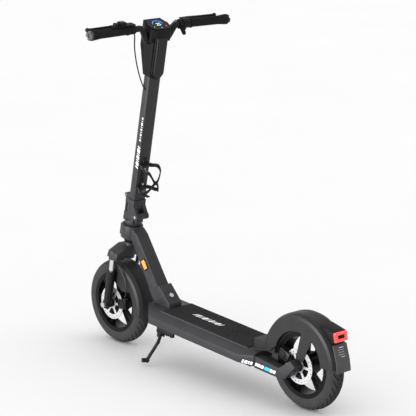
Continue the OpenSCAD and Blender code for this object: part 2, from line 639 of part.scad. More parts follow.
// Clamp ring, lever perch and switch pod, laid out from y = 0 at the clamp's inner end.
module perch() {
  rod_y(16, 0, 22);
  box([0, 33], [2, 20], [-6, 12]);
}
module perch_cut() {
  rod_y(bar_r + fix, -10, 40);
  box([18, 50], [-1, 30], [-1.2, 9.2]);
}
module lever_pin() translate([26, 11, -5]) cylinder(r = 3, h = 16);
module control_left() color([0.06, 0.06, 0.06]) on_bar(perch_y) difference() {
  union() {
    difference() {
      perch();
      perch_cut();
    }
    lever_pin();
    box([-12, 12], [4, 96], [18.4, 22]);
    box([-10, 10], [2, 20], [12, 20]);
    difference() {
      box([-10, 12], [44, 68], [21, 32]);
      box([-7, 8], [47, 65], [25.2, 40]);
    }
    translate([0, 84, 21]) cylinder(r = 9.5, h = 9);
  }
  rod_y(bar_r + fix, -10, 60);
}
module signal_button() color([0.25, 0.09, 0.07]) on_bar(perch_y) box([-6.7, 7.7], [47.3, 64.7], [27.6, 34]);
module control_right() color([0.06, 0.06, 0.06]) on_bar_right(perch_y) difference() {
  union() {
    difference() {
      perch();
      perch_cut();
    }
    lever_pin();
    translate([0, -10, 0]) rod_y(19, 0, 12);
    box([-14, 14], [-10, 2], [-19, 19]);
  }
  rod_y(bar_r + fix, -20, 60);
}
module throttle() color([0.09, 0.09, 0.09]) on_bar_right(perch_y) difference() {
  union() {
    translate([0, -22, 0]) rod_y(17, 0, 11.4);
    slab(-22, -10.6, [[-6, -12], [-15, -6], [-31, -22], [-26, -29]]);
    translate([-27, -16, -25]) rotate([0, -45, 0]) box([-6, 6], [-5.6, 5], [-2.5, 2.5]);
  }
  rod_y(bar_r + run, -40, 10);
}
module brake_lever() difference() {
  union() {
    translate([26, 11, -0.8]) cylinder(r = 7, h = 9.6);
    translate([0, 0, -0.8]) linear_extrude(height = 9.6)
      polygon([[22, 6], [32, 5], [40, 12], [45, 40], [43, 90], [43, 150], [45, 168], [38, 168],
        [37, 150], [37, 90], [37, 45], [22, 18]]);
    translate([42, 170, 4]) sphere(r = 7.5);
  }
  translate([26, 11, -20]) cylinder(r = 3 + run, h = 60);
}
module brake_lever_left() color([0.08, 0.08, 0.08]) on_bar(perch_y) brake_lever();
module brake_lever_right() color([0.08, 0.08, 0.08]) on_bar_right(perch_y) brake_lever();

// ---- Display ----

module display_body() color([0.12, 0.12, 0.13]) at_steer() difference() {
  union() {
    rotate([0, 0, 90]) translate([0, 0, bar_s + 0.2]) linear_extrude(height = 75)
      polygon([[-30, 38], [-44, 24], [-48, -4], [-37, -34], [37, -34], [48, -4], [44, 24], [30, 38]]);
  }
  // The glass lies in a sloping face.
  translate([-38, 0, bar_s + 43]) rotate([0, -16, 0]) box([-40, 160], [-80, 80], [0, 100]);
  // The head's rear panel reaches up behind the bar.
  box([-60, -27.2], [-60, 60], [bar_s - 1, bar_s + 16]);
  translate([bar_t, 0, bar_s]) rod_y(bar_r + fix, -bar_mid - 1, bar_mid + 1);
  at_pair() half_bar(bar_r + 0.6);
}
module display_glass() color([0.02, 0.02, 0.03]) at_steer()
  translate([-38, 0, bar_s + 43.3]) rotate([0, -16, 0]) rotate([0, 0, 90]) linear_extrude(height = 2.5)
    polygon([[-30, -7], [-42, -20], [-45.5, -40], [-34, -64], [34, -64], [45.5, -40], [42, -20], [30, -7]]);

// ---- Bottle cage ----

cage_s = collar_s1 + 92;
module hoop(a) rotate([0, 0, 180 - a]) rotate_extrude(angle = 2 * a, $fn = 64)
  translate([34, 0]) circle(r = 3, $fn = 16);
module bottle_cage() color([0.05, 0.05, 0.05]) at_steer() translate([-21.3, 0, cage_s]) {
  difference() {
    box([-4, 0], [-8, 8], [-66, 68]);
    for (s = [-28, 28]) translate([-10, 0, s]) rotate([0, 90, 0]) cylinder(r = 2.7, h = 20);
  }
  box([-14, -3.5], [-8, 8], [62, 68]);
  box([-44, -3.5], [-7, 7], [-66, -61]);
  for (s = [-38, 38]) translate([-38, 0, s]) difference() {
    rotate([0, 0, 180]) hoop(140);
    translate([34.2, 0, 0]) box([0, 20], [-20, 20], [-20, 20]);
  }
  for (k = [-1, 1], m = [-1, 1])
    bar([-36, k * 34, -m * 38], [-58, k * 27.5, m * 38], 2.6);
  for (m = [-1, 1]) box([-8, -3], [-8, 8], m > 0 ? [37, 42] : [-42, -37]);
}
module stem_screws() color([0.6, 0.6, 0.62]) at_steer() {
  for (s = [-28, 28]) translate([-28.2, 0, cage_s + s]) rotate([0, 90, 0]) {
    cylinder(r = 4.5, h = 2.6);
    cylinder(r = 2.5, h = 6.7);
  }
}

// ---- Cables ----

module stem_cables() color([0.03, 0.03, 0.03]) at_steer() {
  cable([[20, perch_y + 1.6, bar_s + rise], [19, 92, bar_s + 42], [24, 76, bar_s + 22],
    [33, 62, bar_s - 40], [22, 46, bar_s - 110], [4, 33, bar_s - 160], [-8, 27.6, bar_s - 178]],
    2.3, 6, [1, 0, 0.3]);
  cable([[34, -perch_y - 1.6, bar_s + rise], [44, -88, bar_s + 20], [54, -60, bar_s - 20],
    [50, -37, bar_s - 40]], 2.3, 6, [1, 0, 0.3]);
}
module rear_cable() color([0.03, 0.03, 0.03]) at_deck()
  cable([[deck_rear + 22, 62, deck_top + 2.6], [deck_rear - 8, 60, deck_top + 10],
    [deck_rear - 40, 56, 22], [106, 52, 38], [96, 50, 46]], 2.3, 5, [0, 1, 0]);

deck_shell();
deck_pan();
deck_mat();
battery();
neck();
neck_base();
frame_screws();
reflectors();
reflector_bezels();
headset();
rear_arms();
rear_axle();
rear_fender();
tail_housing();
tail_lens();
mud_plate();
rear_caliper();
kick_bracket();
charge_port();
rear_cable();
charge_cap();
kick_leg();
fork_crown();
stanchions();
fold_base();
fold_pin();
front_fender();
fork_lowers();
front_axle();
front_caliper();
front_hose();
front_tyre();
front_rim();
front_hub();
front_rotor();
rear_tyre();
rear_rim();
rear_hub();
rear_rotor();
fold_collar();
latch_pin();
latch_lever();
stem_tube();
stem_head();
head_panel();
headlight();
handlebar();
grips();
bar_ends();
display_body();
display_glass();
control_left();
control_right();
brake_lever_left();
brake_lever_right();
throttle();
signal_button();
bottle_cage();
stem_screws();
stem_cables();
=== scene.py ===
import json
import math

import bpy
from bpy.props import FloatProperty, FloatVectorProperty, IntProperty, PointerProperty
from mathutils import Matrix, Vector


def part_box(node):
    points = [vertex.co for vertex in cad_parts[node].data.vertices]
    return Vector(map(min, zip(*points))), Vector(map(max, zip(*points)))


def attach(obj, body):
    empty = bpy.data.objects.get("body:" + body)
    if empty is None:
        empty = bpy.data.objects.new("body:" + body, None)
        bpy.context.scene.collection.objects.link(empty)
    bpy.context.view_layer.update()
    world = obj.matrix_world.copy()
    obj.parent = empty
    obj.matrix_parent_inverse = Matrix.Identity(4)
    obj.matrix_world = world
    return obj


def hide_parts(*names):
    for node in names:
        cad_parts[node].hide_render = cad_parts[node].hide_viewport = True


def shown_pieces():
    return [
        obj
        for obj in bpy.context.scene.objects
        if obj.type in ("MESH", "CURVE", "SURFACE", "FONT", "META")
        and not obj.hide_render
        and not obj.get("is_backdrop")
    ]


bl_info = {
    "name": "Folding kick scooter",
    "version": (1, 0, 0),
    "blender": (4, 5, 0),
    "location": "View3D > Sidebar > Scooter",
    "description": "Builds the finished look of a folding electric kick scooter around its fixed frame",
    "category": "Object",
}

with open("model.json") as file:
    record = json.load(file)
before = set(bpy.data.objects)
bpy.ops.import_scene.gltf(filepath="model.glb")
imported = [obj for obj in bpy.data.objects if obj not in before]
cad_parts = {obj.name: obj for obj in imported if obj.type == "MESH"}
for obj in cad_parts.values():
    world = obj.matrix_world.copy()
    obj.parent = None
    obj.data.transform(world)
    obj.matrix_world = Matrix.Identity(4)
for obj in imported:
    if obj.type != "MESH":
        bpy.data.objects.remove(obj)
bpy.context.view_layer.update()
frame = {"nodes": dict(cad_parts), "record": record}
NODES = frame["nodes"]
RECORD = frame["record"]
JOINTS = {j["name"]: j for j in RECORD["behaviour"]["joints"]}
BODY_OF = {n: b for b, ns in RECORD["behaviour"]["bodies"].items() for n in ns}
SLOT_OF = {s["node"]: s["material_slot"] for s in RECORD["subparts"]}
MM = 0.001
BAR_RISE = 49.19  # in mm: the grips over the middle of the bar

# Everything below is in metres, but for TYRE_STEPS, the steps round a tyre, and
# TREAD_EDGE, the half angle of its tread in degrees.
BAR_CABLE_R = 0.0023
TYRE_MAJOR = 0.1235
TYRE_MINOR = 0.029
BEAD_R = 0.1086
TYRE_STEPS = 144
TREAD_EDGE = 56
CAGE_S = 0.4983
CAGE_AXIS_T = -0.0593
CAGE_R = 0.034
PANEL_LOW = 0.8673
PANEL_HIGH = 1.0098
GLASS_RISE = 0.0433

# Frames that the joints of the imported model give: along the steering axis, along
# the deck, and along each half of the bar.


def frame_at(origin, x_dir, z_dir):
    z = Vector(z_dir).normalized()
    y = z.cross(Vector(x_dir)).normalized()
    x = y.cross(z)
    m = Matrix((x, y, z)).transposed().to_4x4()
    m.translation = Vector(origin)
    return m


STEER = frame_at(JOINTS["steering_turn"]["pos_m"], (1, 0, 0), JOINTS["steering_turn"]["axis"])
DECK = frame_at(JOINTS["rear_wheel_spin"]["pos_m"], (1, 0, 0), RECORD["mounts"][0]["axis"])
AXLE = {
    "front": Vector(JOINTS["front_wheel_spin"]["pos_m"]),
    "rear": Vector(JOINTS["rear_wheel_spin"]["pos_m"]),
}


def bar_frame(side):
    # z runs outwards along the grip, x forwards; its origin is beside the lever's pin.
    out = Vector(JOINTS["throttle_push"]["axis"])
    if side == "left":
        out.y = -out.y
    pin = Vector(JOINTS["brake_lever_%s_pull" % side]["pos_m"])
    up = Vector(JOINTS["steering_turn"]["axis"])
    ahead = (out.cross(up) if side == "left" else up.cross(out)).normalized()
    centre = pin - ahead * 26 * MM - out * 11 * MM - up * 4 * MM
    return frame_at(centre, ahead, out)


BAR = {"left": bar_frame("left"), "right": bar_frame("right")}


def bar_level():
    """How far up the steering axis the middle of the bar is; the lever's pin gives it."""
    pin = Vector(JOINTS["brake_lever_left_pull"]["pos_m"]) - STEER.translation
    return pin.dot(STEER.col[2].to_3d()) - 0.004 - BAR_RISE * MM


# ---- Working in edit mode ----


def clear():
    if bpy.context.mode != "OBJECT":
        bpy.ops.object.mode_set(mode="OBJECT")
    bpy.ops.object.select_all(action="DESELECT")


def take(obj):
    clear()
    obj.select_set(True)
    bpy.context.view_layer.objects.active = obj


def edit(obj):
    take(obj)
    bpy.ops.object.mode_set(mode="EDIT")
    bpy.ops.mesh.select_all(action="DESELECT")


def done():
    bpy.ops.object.mode_set(mode="OBJECT")


def pick_faces(obj, test):
    """Selects the faces whose centre and normal pass the test; edit mode stays on."""
    done()
    for v in obj.data.vertices:
        v.select = False
    for e in obj.data.edges:
        e.select = False
    for p in obj.data.polygons:
        p.select = bool(test(p.center, p.normal))
    bpy.ops.object.mode_set(mode="EDIT")
    bpy.ops.mesh.select_mode(type="FACE")


def apply_modifiers(obj):
    take(obj)
    for m in list(obj.modifiers):
        bpy.ops.object.modifier_apply(modifier=m.name)


def bevel(obj, width, segments=2, angle=35):
    m = obj.modifiers.new("edge_round", "BEVEL")
    m.width = width
    m.segments = segments
    m.limit_method = "ANGLE"
    m.angle_limit = math.radians(angle)
    m.use_clamp_overlap = True
    m.harden_normals = False
    apply_modifiers(obj)


def smooth(obj, angle=35):
    take(obj)
    bpy.ops.object.shade_smooth_by_angle(angle=math.radians(angle))


def finish(obj, name, body, mat, at=None):
    """Moves the finished mesh into place and lets it ride on its body."""
    if at is not None:
        obj.data.transform(at)
        obj.data.update()
    obj.name = name
    obj.data.name = name
    obj.data.materials.clear()
    obj.data.materials.append(mat)
    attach(obj, body)
    return obj


def outward(obj):
    edit(obj)
    bpy.ops.mesh.select_all(action="SELECT")
    bpy.ops.mesh.remove_doubles(threshold=1e-6)
    bpy.ops.mesh.normals_make_consistent(inside=False)
    done()


def block(size, centre=(0, 0, 0)):
    clear()
    bpy.ops.mesh.primitive_cube_add(size=1, location=centre, scale=size)
    obj = bpy.context.object
    bpy.ops.object.transform_apply(location=True, rotation=True, scale=True)
    return obj


def turned(stations, segments=48):
    """A closed turned piece about z, drawn out ring by ring as [height, radius]."""
    clear()
    z0, r0 = stations[0]
    bpy.ops.mesh.primitive_circle_add(
        vertices=segments, radius=r0, fill_type="NGON", location=(0, 0, z0))
    obj = bpy.context.object
    bpy.ops.object.transform_apply(location=True, rotation=True, scale=True)
    bpy.ops.object.mode_set(mode="EDIT")
    bpy.ops.mesh.select_all(action="SELECT")
    z, r = z0, r0
    for z1, r1 in stations[1:]:
        bpy.ops.mesh.extrude_region_move(TRANSFORM_OT_translate={"value": (0, 0, z1 - z)})
        if abs(r1 - r) > 1e-7:
            k = r1 / r
            bpy.ops.transform.resize(value=(k, k, 1), center_override=(0, 0, z1))
        z, r = z1, r1
    bpy.ops.object.mode_set(mode="OBJECT")
    outward(obj)
    return obj


def join(objs):
    clear()
    for o in objs:
        o.select_set(True)
    bpy.context.view_layer.objects.active = objs[0]
    if len(objs) > 1:
        bpy.ops.object.join()
    return bpy.context.object


def merged_copy(node):
    src = NODES[node]
    obj = src.copy()
    obj.data = src.data.copy()
    obj.parent = None
    obj.matrix_world = Matrix.Identity(4)
    bpy.context.scene.collection.objects.link(obj)
    edit(obj)
    bpy.ops.mesh.select_all(action="SELECT")
    bpy.ops.mesh.remove_doubles(threshold=2e-6)
    bpy.ops.mesh.dissolve_limited(angle_limit=math.radians(1.0))
    done()
    return obj


def refined(node, width, mat, segments=2, angle=35):
    """The node's own shape with its sharp edges rounded over."""
    obj = merged_copy(node)
    bevel(obj, width, segments, angle)
    smooth(obj, 40)
    finish(obj, node + "_finished", BODY_OF[node], mat)
    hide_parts(node)
    return obj


# ---- Finishes ----


class Nodes:
    """Short calls for adding and linking shader nodes."""

    def __init__(self, name):
        self.mat = bpy.data.materials.new(name)
        self.mat.use_nodes = True
        self.tree = self.mat.node_tree
        self.tree.nodes.clear()
        self.out = self.add("ShaderNodeOutputMaterial")
        self.bsdf = self.add("ShaderNodeBsdfPrincipled")
        self.link(self.bsdf.outputs[0], self.out.inputs[0])
        self.coord = self.add("ShaderNodeTexCoord").outputs["Object"]

    def add(self, kind, **values):
        n = self.tree.nodes.new(kind)
        for k, v in values.items():
            setattr(n, k, v)
        return n

    def link(self, a, b):
        self.tree.links.new(a, b)

    def moved(self, origin=(0, 0, 0), scale=(1, 1, 1), turn=(0, 0, 0)):
        n = self.add("ShaderNodeMapping", vector_type="TEXTURE")
        n.inputs["Location"].default_value = origin
        n.inputs["Rotation"].default_value = turn
        n.inputs["Scale"].default_value = scale
        self.link(self.coord, n.inputs["Vector"])
        return n.outputs[0]

    def noise(self, scale, detail=4.0, rough=0.55, vector=None):
        n = self.add("ShaderNodeTexNoise")
        n.inputs["Scale"].default_value = scale
        n.inputs["Detail"].default_value = detail
        n.inputs["Roughness"].default_value = rough
        self.link(vector or self.coord, n.inputs["Vector"])
        return n.outputs["Fac"]

    def math(self, op, a, b=0.0, c=0.0):
        n = self.add("ShaderNodeMath", operation=op)
        for i, v in enumerate((a, b, c)):
            if hasattr(v, "is_output"):
                self.link(v, n.inputs[i])
            else:
                n.inputs[i].default_value = v
        return n.outputs[0]

    def length(self, a, b):
        squares = self.math("POWER", a, 2.0), self.math("POWER", b, 2.0)
        return self.math("SQRT", self.math("ADD", *squares))

    def ramp(self, fac, stops):
        n = self.add("ShaderNodeValToRGB")
        els = n.color_ramp.elements
        while len(els) < len(stops):
            els.new(0.5)
        for el, (pos, col) in zip(els, stops):
            el.position = pos
            el.color = (*col, 1) if len(col) == 3 else col
        self.link(fac, n.inputs[0])
        return n.outputs[0]

    def tone(self, base, spread, scale):
        dark = tuple(max(0.0, c * (1 - spread)) for c in base)
        light = tuple(min(1.0, c * (1 + spread)) for c in base)
        shade = self.ramp(self.noise(scale, 5), [(0.3, dark), (0.7, light)])
        self.link(shade, self.bsdf.inputs["Base Color"])

    def rough(self, low, high, scale):
        n = self.add("ShaderNodeMapRange")
        n.inputs["To Min"].default_value = low
        n.inputs["To Max"].default_value = high
        self.link(self.noise(scale, 3), n.inputs["Value"])
        self.link(n.outputs[0], self.bsdf.inputs["Roughness"])

    def bump(self, height, strength, distance):
        n = self.add("ShaderNodeBump")
        n.inputs["Strength"].default_value = strength
        n.inputs["Distance"].default_value = distance
        self.link(height, n.inputs["Height"])
        self.link(n.outputs[0], self.bsdf.inputs["Normal"])


def moulded(name, base, low=0.5, high=0.62, grain=900, height=0.00012, spread=0.12, specular=0.3, coat=0.0):
    """Moulded or painted finish: slight tone change, fine grain, uneven gloss."""
    s = Nodes(name)
    s.tone(base, spread, 18)
    s.rough(low, high, 40)
    s.bump(s.noise(grain, 2), 0.35, height)
    s.bsdf.inputs["Specular IOR Level"].default_value = specular
    s.bsdf.inputs["Coat Weight"].default_value = coat
    return s.mat


def metal(name, base, low, high, streak, axis):
    """Bright metal with fine streaks along one direction."""
    s = Nodes(name)
    s.tone(base, 0.08, 60)
    s.rough(low, high, 90)
    scale = [0.02, 0.02, 0.02]
    scale[axis] = 0.6
    s.bump(s.noise(streak, 3, vector=s.moved(scale=tuple(scale))), 0.15, 0.00004)
    s.bsdf.inputs["Metallic"].default_value = 1.0
    return s.mat


def disc_steel(name, centre):
    """Ground disc steel with circular grinding marks about its own axle."""
    s = Nodes(name)
    p = s.add("ShaderNodeSeparateXYZ")
    s.link(s.moved(origin=centre), p.inputs[0])
    radius = s.length(p.outputs[0], p.outputs[2])
    ring = s.add("ShaderNodeCombineXYZ")
    s.link(s.math("MULTIPLY", radius, 900.0), ring.inputs[0])
    marks = s.noise(1.0, 4, vector=ring.outputs[0])
    shade = s.ramp(marks, [(0.3, (0.42, 0.42, 0.43)), (0.7, (0.72, 0.72, 0.73))])
    s.link(shade, s.bsdf.inputs["Base Color"])
    s.rough(0.3, 0.42, 70)
    s.bump(marks, 0.2, 0.00005)
    s.bsdf.inputs["Metallic"].default_value = 0.75
    return s.mat


def tyre_rubber(name, centre):
    """Tyre rubber with moulded rings round the side wall, random tone, and painted shade darkening the groove
    floors and the bead beside the rim.
    """
    s = Nodes(name)
    p = s.add("ShaderNodeSeparateXYZ")
    s.link(s.moved(origin=centre), p.inputs[0])
    radius = s.length(p.outputs[0], p.outputs[2])
    wall = s.math("SINE", s.math("MULTIPLY", radius, 1700.0))
    band = s.math("GREATER_THAN", s.math("ABSOLUTE", p.outputs[1]), 0.019)
    rings = s.math("MULTIPLY", s.math("MULTIPLY", wall, 0.5), band)
    from_core = s.length(s.math("SUBTRACT", radius, TYRE_MAJOR), p.outputs[1])
    # Painted shade: groove floors and the bead beside the rim lie nearer the tyre's core and are painted black,
    # the outer surface paler; noise adds random tone.
    height = s.math("DIVIDE", s.math("SUBTRACT", from_core, TYRE_MINOR - 0.0022), 0.002)
    tone_and_painted_shade = s.math("ADD", s.math("MULTIPLY", s.noise(35, 6), 0.5), s.math("MULTIPLY", height, 0.5))
    shade = s.ramp(tone_and_painted_shade, [(0.35, (0.004, 0.004, 0.004)), (0.8, (0.030, 0.030, 0.031))])
    s.link(shade, s.bsdf.inputs["Base Color"])
    s.rough(0.62, 0.8, 60)
    s.bump(s.math("ADD", rings, s.math("MULTIPLY", s.noise(700, 3), 0.2)), 0.9, 0.0009)
    s.bsdf.inputs["Specular IOR Level"].default_value = 0.1
    return s.mat


def lens(name, base, pitch, glow):
    """Coloured reflector plastic with small prisms behind its face."""
    s = Nodes(name)
    v = s.add("ShaderNodeTexVoronoi")
    v.inputs["Scale"].default_value = pitch
    s.link(s.coord, v.inputs["Vector"])
    dark = tuple(c * 0.72 for c in base)
    s.link(s.ramp(v.outputs["Distance"], [(0.0, base), (0.9, dark)]), s.bsdf.inputs["Base Color"])
    s.bump(v.outputs["Distance"], 0.3, 0.0004)
    s.rough(0.12, 0.22, 50)
    s.bsdf.inputs["Coat Weight"].default_value = 0.6
    # Emission: on the amber reflectors, which are no lamp, this is painted glow standing in for the light they
    # reflect.
    s.bsdf.inputs["Emission Color"].default_value = (*base, 1)
    s.bsdf.inputs["Emission Strength"].default_value = glow
    return s.mat


def printed(name, base, glow=0.0):
    """Printed ink with a slightly uneven film."""
    s = Nodes(name)
    s.tone(base, 0.05, 300)
    s.rough(0.4, 0.5, 200)
    s.bump(s.noise(1500, 2), 0.1, 0.00003)
    if glow:
        s.bsdf.inputs["Emission Color"].default_value = (*base, 1)
        s.bsdf.inputs["Emission Strength"].default_value = glow
    return s.mat


MATS = {}


def build_materials(paint):
    grey = tuple(paint.frame_colour)
    black = tuple(paint.plastic_colour)
    MATS.update(
        frame=moulded("frame_paint", grey, 0.42, 0.52, 1400, 0.00006, 0.1, 0.22),
        black=moulded("black_paint", (0.0055, 0.0055, 0.006), 0.36, 0.48, 1200, 0.00006, 0.12, 0.17),
        rim=moulded("rim_paint", (0.0025, 0.0025, 0.0027), 0.3, 0.42, 1200, 0.00005, 0.12, 0.12),
        cage=moulded("cage_plastic", (0.003, 0.003, 0.0032), 0.25, 0.36, 900, 0.00006, 0.12, 0.2),
        plastic=moulded("grained_plastic", black, 0.5, 0.64, 650, 0.00016, 0.14, 0.12),
        fender=moulded("fender_plastic", (0.013, 0.013, 0.0138), 0.42, 0.52, 900, 0.0001, 0.1, 0.2),
        rubber=moulded("soft_rubber", (0.011, 0.011, 0.011), 0.7, 0.85, 420, 0.0003, 0.2, 0.1),
        mat=moulded("mat_rubber", (0.012, 0.012, 0.0125), 0.6, 0.74, 500, 0.0002, 0.15, 0.12),
        hose=moulded("hose_rubber", (0.006, 0.006, 0.006), 0.4, 0.5, 800, 0.0001, 0.15, 0.3),
        steel=metal("zinc_steel", (0.55, 0.55, 0.56), 0.28, 0.4, 30, 1),
        bright=metal("polished_tube", (0.75, 0.75, 0.77), 0.08, 0.16, 20, 2),
        lamp=lens("clear_lamp", (0.8, 0.82, 0.85), 300, 0.1),
        # The amber reflectors' emission is painted glow; a reflector gives no light of its own.
        amber=lens("amber_reflector", (1.0, 0.23, 0.02), 420, 0.35),
        red=lens("red_lens", (1.0, 0.05, 0.045), 380, 0.4),
        glass=moulded("black_glass", (0.002, 0.002, 0.003), 0.08, 0.14, 200, 0.00001, 0.05, 0.12, 0.0),
        ink=printed("white_print", (0.78, 0.78, 0.78)),
        # Painted highlight: the pale line along the mat's edges where light catches its lip.
        trim=printed("mat_trim", (0.10, 0.10, 0.10)),
        trim_pale=printed("plate_print", (0.42, 0.42, 0.42)),
        ink_blue=printed("blue_print", (0.02, 0.33, 0.9)),
        plate=moulded("plate_plastic", (0.05, 0.05, 0.052), 0.45, 0.6, 800, 0.0001, 0.1, 0.3),
        cap=moulded("bar_end_plastic", (0.045, 0.045, 0.046), 0.5, 0.6, 700, 0.0001, 0.12, 0.3),
        button=moulded("red_button", (0.03, 0.008, 0.007), 0.35, 0.45, 500, 0.0001, 0.1, 0.4),
        lit_blue=printed("lit_blue", (0.03, 0.3, 1.0), 1.2),
        lit_white=printed("lit_white", (0.85, 0.9, 1.0), 0.8),
        lit_green=printed("lit_green", (0.05, 0.8, 0.15), 0.6),
        lit_red=printed("lit_red", (1.0, 0.1, 0.05), 0.6),
    )
    for end in ("front", "rear"):
        MATS["disc_" + end] = disc_steel("disc_steel_" + end, AXLE[end])
        MATS["tyre_" + end] = tyre_rubber("tyre_rubber_" + end, AXLE[end])


SLOT_MATS = {
    "frame_metal": "frame", "black_metal": "black", "black_plastic": "plastic", "soft_rubber": "rubber",
    "steel": "steel", "bright_tube": "bright", "orange_lens": "amber", "red_lens": "red",
    "black_glass": "glass", "lamp_lens": "lamp", "hose_black": "hose", "plate_grey": "plate",
    "bar_end_grey": "cap", "button_red": "button", "tyre_rubber": "rubber",
}
NODE_MATS = {
    "front_rotor": "disc_front", "rear_rotor": "disc_rear",
    "front_tyre": "tyre_front", "rear_tyre": "tyre_rear",
    "deck_mat": "mat", "front_fender": "fender", "rear_fender": "fender",
    "front_rim": "rim", "rear_rim": "rim", "front_hub": "rim", "rear_hub": "rim", "bottle_cage": "cage",
}


def mat_of(node):
    return MATS[NODE_MATS.get(node) or SLOT_MATS[SLOT_OF[node]]]


# ---- The settings a user would change ----


class ScooterPaint(bpy.types.PropertyGroup):
    frame_colour: FloatVectorProperty(
        name="Frame colour", description="Paint on the deck, neck and stem", subtype="COLOR",
        default=(0.021, 0.021, 0.0225), min=0, max=1)
    plastic_colour: FloatVectorProperty(
        name="Plastic colour", description="Moulded covers and housings", subtype="COLOR",
        default=(0.0042, 0.0042, 0.0046), min=0, max=1)
    edge_round: FloatProperty(
        name="Edge rounding", description="Radius rolled on the edges of the larger castings",
        default=0.0012, min=0.0002, max=0.003, unit="LENGTH")
    tread_depth: FloatProperty(
        name="Tread depth", description="Depth of the grooves in the tyres",
        default=0.0022, min=0.0005, max=0.003, unit="LENGTH")
    grip_ribs: IntProperty(
        name="Grip ribs", description="Number of ribs along each grip", default=34, min=10, max=60)
    mat_ribs: IntProperty(
        name="Mat ribs", description="Number of ribs across the deck mat", default=40, min=10, max=70)


def settings():
    return bpy.context.scene.scooter_paint


class SCOOTER_OT_finishes(bpy.types.Operator):
    """Makes the finishes and paints every part of the frame"""
    bl_idname = "scooter.finishes"
    bl_label = "Finishes"

    def execute(self, context):
        build_materials(settings())
        for name, obj in NODES.items():
            obj.data.materials.clear()
            obj.data.materials.append(mat_of(name))
            for p in obj.data.polygons:
                p.material_index = 0
        return {"FINISHED"}


class SCOOTER_OT_castings(bpy.types.Operator):
    """Rolls the edges of the deck, neck, stem and covers"""
    bl_idname = "scooter.castings"
    bl_label = "Castings and covers"

    def execute(self, context):
        w = settings().edge_round
        for node, k in (
            ("deck_shell", 1.0), ("deck_pan", 0.8), ("neck", 1.0), ("neck_base", 1.0), ("rear_arms", 1.0),
            ("stem_tube", 1.0), ("fold_base", 0.8), ("fold_collar", 0.7), ("fork_crown", 0.9),
            ("tail_housing", 0.9), ("display_body", 1.2), ("control_left", 0.6), ("control_right", 0.6),
            ("brake_lever_left", 0.9), ("brake_lever_right", 0.9), ("throttle", 0.5), ("latch_lever", 0.8),
            ("kick_bracket", 0.5), ("front_caliper", 0.7), ("rear_caliper", 0.7), ("mud_plate", 0.5),
            ("reflectors", 0.6), ("reflector_bezels", 0.4), ("tail_lens", 0.6), ("headlight", 0.6),
            ("signal_button", 0.5),
        ):
            refined(node, w * k, mat_of(node))
        return {"FINISHED"}


def tyre(end):
    clear()
    major, minor = TYRE_MAJOR, TYRE_MINOR
    bpy.ops.mesh.primitive_torus_add(
        major_radius=major, minor_radius=minor, major_segments=TYRE_STEPS, minor_segments=40,
        rotation=(math.pi / 2, 0, 0))
    obj = bpy.context.object
    bpy.ops.object.transform_apply(location=True, rotation=True, scale=True)
    # The beads sit flat on the rim.
    for v in obj.data.vertices:
        r = math.hypot(v.co.x, v.co.z)
        if r < BEAD_R:
            v.co.x *= BEAD_R / r
            v.co.z *= BEAD_R / r
    step = math.tau / TYRE_STEPS

    def tread(c, n):
        r = math.hypot(c.x, c.z)
        across = math.degrees(math.atan2(c.y, r - major))
        if abs(across) > TREAD_EDGE or r < major:
            return False
        i = int(math.floor((math.atan2(c.z, c.x) % math.tau) / step))
        j = int(round((abs(across) - 4.5) / 9))
        if j == 1:
            return False
        if j == 0:
            return i % 4 == (0 if across > 0 else 2)
        return (i + j) % 4 == 0 and j < 6

    edit(obj)
    pick_faces(obj, tread)
    bpy.ops.mesh.inset(thickness=0.0006, depth=-settings().tread_depth)
    done()
    smooth(obj, 28)
    finish(obj, end + "_tyre_finished", end + "_wheel", MATS["tyre_" + end],
           Matrix.Translation(AXLE[end]))
    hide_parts(end + "_tyre")


class SCOOTER_OT_tyres(bpy.types.Operator):
    """Moulds both tyres with their grooved tread"""
    bl_idname = "scooter.tyres"
    bl_label = "Tyres"

    def execute(self, context):
        for end in ("front", "rear"):
            tyre(end)
        return {"FINISHED"}


class SCOOTER_OT_grips(bpy.types.Operator):
    """Draws out the two ribbed grips"""
    bl_idname = "scooter.grips"
    bl_label = "Grips"

    def execute(self, context):
        parts = []
        low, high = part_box("grips")
        for side in ("left", "right"):
            m = BAR[side]
            reach = high[1] if side == "left" else -low[1]
            start = 0.025
            end = (reach - abs(m.translation.y)) / abs(m.col[2].y)
            stations = [(start, 0.0118), (start, 0.0172), (start + 0.005, 0.0176), (start + 0.006, 0.0146)]
            n = settings().grip_ribs
            span = end - 0.010 - (start + 0.008)
            for k in range(n):
                z = start + 0.008 + span * k / n
                swell = 0.0
                if z > end - 0.042:
                    swell = 0.0028 * (z - (end - 0.042)) / 0.034
                stations += [
                    (z, 0.0146 + swell), (z + span / n * 0.2, 0.0153 + swell),
                    (z + span / n * 0.6, 0.0153 + swell), (z + span / n * 0.8, 0.0146 + swell)]
            stations += [(end - 0.0095, 0.0175), (end - 0.008, 0.0181), (end - 0.001, 0.0181),
                         (end - 0.0002, 0.0174), (end - 0.0002, 0.0118)]
            g = turned(stations, 40)
            smooth(g, 30)
            g.data.transform(m)
            parts.append(g)
        obj = join(parts)
        finish(obj, "grips_finished", "stem", MATS["rubber"])
        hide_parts("grips")
        return {"FINISHED"}


